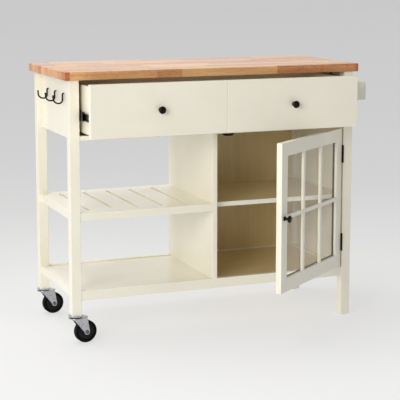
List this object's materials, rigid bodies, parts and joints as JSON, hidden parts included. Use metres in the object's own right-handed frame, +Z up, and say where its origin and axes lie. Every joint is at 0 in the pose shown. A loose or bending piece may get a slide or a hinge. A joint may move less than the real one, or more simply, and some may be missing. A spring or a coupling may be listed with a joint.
{
  "type": "kitchen island cart",
  "caption": "Kitchen island cart with a butcher-block top, a wide drawer, a slatted shelf, a bottom shelf, a glazed cabinet, swivel casters, hooks and a towel bar.",
  "frame": {"origin": "on the floor, under the centre of the worktop", "axes": "+X along the cart's length to the right as seen from the front, +Y to the back, +Z up"},
  "size_m": [1.1229, 0.7581, 0.914],
  "materials": {
    "butcher_block": "oiled",
    "cream_paint": "satin paint",
    "beech": "raw",
    "plywood": "satin paint",
    "black_iron": "satin",
    "bronzed_steel": "satin",
    "black_steel": "satin",
    "zinc_steel": "zinc plate",
    "catch_plastic": "matte",
    "glazing_rubber": "matte",
    "nylon": "matte",
    "tyre_rubber": "matte",
    "hub_plastic": "matte",
    "clear_glass": "polished"
  },
  "bodies": {
    "cart": {"worktop": "butcher_block", "worktop_brackets": "zinc_steel", "front_left_leg": "cream_paint", "rear_left_leg": "cream_paint", "front_right_leg": "cream_paint", "rear_right_leg": "cream_paint", "foot_glides": "nylon", "frame_dowels": "beech", "bottom_rails": "cream_paint", "drawer_deck": "cream_paint", "shelf_rails": "cream_paint", "side_rails": "cream_paint", "left_hook_panel": "cream_paint", "right_side_panel": "cream_paint", "slide_packer": "cream_paint", "rear_apron": "cream_paint", "bottom_shelf": "cream_paint", "centre_divider": "cream_paint", "cabinet_back": "plywood", "cabinet_shelf": "cream_paint", "shelf_pins": "zinc_steel", "shelf_slats": "cream_paint", "shelf_ledgers": "cream_paint", "panel_hooks": "black_iron", "towel_brackets": "cream_paint", "towel_bar": "cream_paint", "magnetic_catch": "catch_plastic", "cabinet_hinge_leaves": "bronzed_steel", "hinge_pins": "bronzed_steel", "frame_screws": "zinc_steel", "caster_stems": "zinc_steel", "caster_balls": "zinc_steel", "slide_outer_members": "black_steel"},
    "drawer": {"drawer_front": "cream_paint", "drawer_sides": "cream_paint", "drawer_back": "cream_paint", "drawer_bottom": "plywood", "drawer_knobs": "black_iron", "drawer_knob_screws": "zinc_steel", "slide_inner_members": "black_steel"},
    "slide_middle": {"slide_middle_members": "black_steel"},
    "door": {"door_free_stile": "cream_paint", "door_hinge_stile": "cream_paint", "door_top_rail": "cream_paint", "door_bottom_rail": "cream_paint", "door_glazing_bars": "cream_paint", "door_glass": "clear_glass", "glass_beads": "glazing_rubber", "door_knob": "black_iron", "door_screws": "zinc_steel", "door_hinge_leaves": "bronzed_steel", "catch_plate": "zinc_steel"},
    "front_caster": {"front_caster_fork": "zinc_steel", "front_caster_axle": "zinc_steel"},
    "front_wheel": {"front_caster_tyre": "tyre_rubber", "front_caster_hub": "hub_plastic"},
    "rear_caster": {"rear_caster_fork": "zinc_steel", "rear_caster_axle": "zinc_steel"},
    "rear_wheel": {"rear_caster_tyre": "tyre_rubber", "rear_caster_hub": "hub_plastic"}
  },
  "joints": [
    {"name": "drawer_slide", "type": "slide", "parent": "cart", "child": "drawer", "axis": [0, -1, 0], "range_m": [-0.109, 0.221]},
    {"name": "middle_member_slide", "type": "slide", "parent": "cart", "child": "slide_middle", "axis": [0, -1, 0], "range_m": [-0.0545, 0.1105]},
    {"name": "door_hinge", "type": "hinge", "parent": "cart", "child": "door", "pos_m": [0.48605, -0.2224, 0.4315], "axis": [0, 0, 1], "range_deg": [-38.2, 66.8]},
    {"name": "front_caster_swivel", "type": "hinge", "parent": "cart", "child": "front_caster", "pos_m": [-0.505, -0.2035, 0], "axis": [0, 0, 1], "continuous": true},
    {"name": "front_wheel_spin", "type": "hinge", "parent": "front_caster", "child": "front_wheel", "pos_m": [-0.47119, -0.19995, 0.038], "axis": [-0.1045, 0.9945, 0], "continuous": true},
    {"name": "rear_caster_swivel", "type": "hinge", "parent": "cart", "child": "rear_caster", "pos_m": [-0.505, 0.2035, 0], "axis": [0, 0, 1], "continuous": true},
    {"name": "rear_wheel_spin", "type": "hinge", "parent": "rear_caster", "child": "rear_wheel", "pos_m": [-0.47119, 0.20705, 0.038], "axis": [-0.1045, 0.9945, 0], "continuous": true}
  ],
  "couplings": [
    {"joint": "middle_member_slide", "follows": "drawer_slide", "ratio": 0.5}
  ]
}
